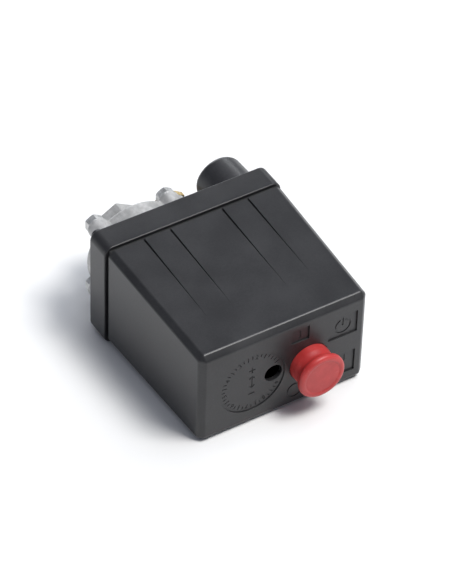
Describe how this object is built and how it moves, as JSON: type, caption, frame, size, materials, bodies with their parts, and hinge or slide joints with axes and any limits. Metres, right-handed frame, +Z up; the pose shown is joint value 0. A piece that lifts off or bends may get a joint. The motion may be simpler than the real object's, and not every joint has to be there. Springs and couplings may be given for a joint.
{
  "type": "pressure switch",
  "caption": "Compressor pressure switch: wedge-sided black cover with a red pull knob, cast port flange, unloader fitting and cable glands.",
  "frame": {"origin": "centre of the pressure port's mouth", "axes": "+Y leaves the port, -Y is the knob side, +Z is up with the switch lying on its flat side"},
  "size_m": [0.0716, 0.101, 0.0451],
  "materials": {
    "black_cover": "fine textured, semi matte",
    "black_tray": "fine textured, semi matte",
    "black_rubber": "matt",
    "red_plastic": "satin",
    "cast_alloy": "as cast",
    "zinc_steel": "zinc plated",
    "yellow_steel": "yellow zinc plated",
    "spring_steel": "drawn wire",
    "brass": "turned",
    "copper_alloy": "rolled",
    "white_nylon": "moulded",
    "dark_bakelite": "moulded",
    "gland_plastic": "moulded"
  },
  "bodies": {
    "casing": {"base_tray": "black_tray", "cover_gasket": "black_rubber", "port_casting": "cast_alloy", "flange_screws": "zinc_steel", "diaphragm": "black_rubber", "diaphragm_ring": "zinc_steel", "main_frame": "yellow_steel", "pivot_pin": "zinc_steel", "terminal_block": "dark_bakelite", "fixed_contacts": "brass", "terminal_clamps": "zinc_steel", "terminal_screws": "zinc_steel", "earth_screw": "brass", "gland_seal_upper": "black_rubber", "gland_seal_lower": "black_rubber", "cover_screws": "zinc_steel", "unloader_ferrule": "brass", "unloader_spring": "spring_steel", "range_spring": "spring_steel", "differential_spring": "spring_steel", "trip_spring": "spring_steel"},
    "cover_shell": {"cover": "black_cover"},
    "knob_cap": {"knob": "red_plastic"},
    "stem": {"knob_stem": "white_nylon"},
    "carrier": {"contact_carrier": "white_nylon", "contact_bridge_upper": "copper_alloy", "contact_bridge_lower": "copper_alloy", "contact_springs": "spring_steel"},
    "unloader_valve": {"unloader_pin": "brass"},
    "lever": {"main_lever": "yellow_steel", "spring_foot": "zinc_steel"},
    "plunger": {"pusher": "white_nylon"},
    "range_adjuster": {"range_screw": "zinc_steel"},
    "range_plate": {"range_seat": "zinc_steel"},
    "differential_adjuster": {"differential_screw": "zinc_steel"},
    "differential_plate": {"differential_seat": "zinc_steel"},
    "upper_gland": {"gland_nut_upper": "gland_plastic"},
    "lower_gland": {"gland_nut_lower": "gland_plastic"},
    "tube_nut": {"unloader_nut": "brass"}
  },
  "joints": [
    {"name": "cover_lift", "type": "slide", "parent": "casing", "child": "cover_shell", "axis": [0, -1, 0], "range_m": [0, 0.07]},
    {"name": "knob_pull", "type": "slide", "parent": "cover_shell", "child": "knob_cap", "axis": [0, -1, 0], "range_m": [0, 0.006]},
    {"name": "stem_slide", "type": "slide", "parent": "casing", "child": "stem", "axis": [0, -1, 0], "range_m": [0, 0.006], "deforming": ["trip_spring"]},
    {"name": "carrier_slide", "type": "slide", "parent": "casing", "child": "carrier", "axis": [0, -1, 0], "range_m": [0, 0.0024]},
    {"name": "unloader_slide", "type": "slide", "parent": "casing", "child": "unloader_valve", "axis": [0, -1, 0], "range_m": [0, 0.0018], "deforming": ["unloader_spring"]},
    {"name": "lever_rock", "type": "hinge", "parent": "casing", "child": "lever", "pos_m": [-0.013, -0.039, -0.0005], "axis": [0, 0, -1], "range_deg": [0, 3]},
    {"name": "pusher_slide", "type": "slide", "parent": "casing", "child": "plunger", "axis": [0, -1, 0], "range_m": [0, 0.0007]},
    {"name": "range_screw_turn", "type": "hinge", "parent": "casing", "child": "range_adjuster", "pos_m": [0.0089, -0.072, -0.0005], "axis": [0, 1, 0], "range_deg": [-1080, 1080]},
    {"name": "range_seat_slide", "type": "slide", "parent": "casing", "child": "range_plate", "axis": [0, -1, 0], "range_m": [-0.003, 0.003], "deforming": ["range_spring"]},
    {"name": "differential_screw_turn", "type": "hinge", "parent": "casing", "child": "differential_adjuster", "pos_m": [-0.0045, -0.072, -0.0005], "axis": [0, 1, 0], "range_deg": [-720, 720]},
    {"name": "differential_seat_slide", "type": "slide", "parent": "casing", "child": "differential_plate", "axis": [0, -1, 0], "range_m": [-0.0014, 0.0014], "deforming": ["differential_spring"]},
    {"name": "upper_gland_turn", "type": "hinge", "parent": "casing", "child": "upper_gland", "pos_m": [0.038, -0.012, 0.0106], "axis": [0, 1, 0], "continuous": true},
    {"name": "lower_gland_turn", "type": "hinge", "parent": "casing", "child": "lower_gland", "pos_m": [0.038, -0.012, -0.0106], "axis": [0, 1, 0], "continuous": true},
    {"name": "tube_nut_turn", "type": "hinge", "parent": "casing", "child": "tube_nut", "pos_m": [0.021, -0.002, 0], "axis": [0, 1, 0], "continuous": true}
  ],
  "couplings": [
    {"joint": "stem_slide", "follows": "knob_pull", "ratio": 1},
    {"joint": "carrier_slide", "follows": "knob_pull", "ratio": 0.4},
    {"joint": "unloader_slide", "follows": "knob_pull", "ratio": 0.3},
    {"joint": "pusher_slide", "follows": "lever_rock", "m_per_rad": 0.013},
    {"joint": "range_screw_turn", "follows": "range_seat_slide", "rad_per_m": 6283.2},
    {"joint": "differential_screw_turn", "follows": "differential_seat_slide", "rad_per_m": 8976}
  ]
}
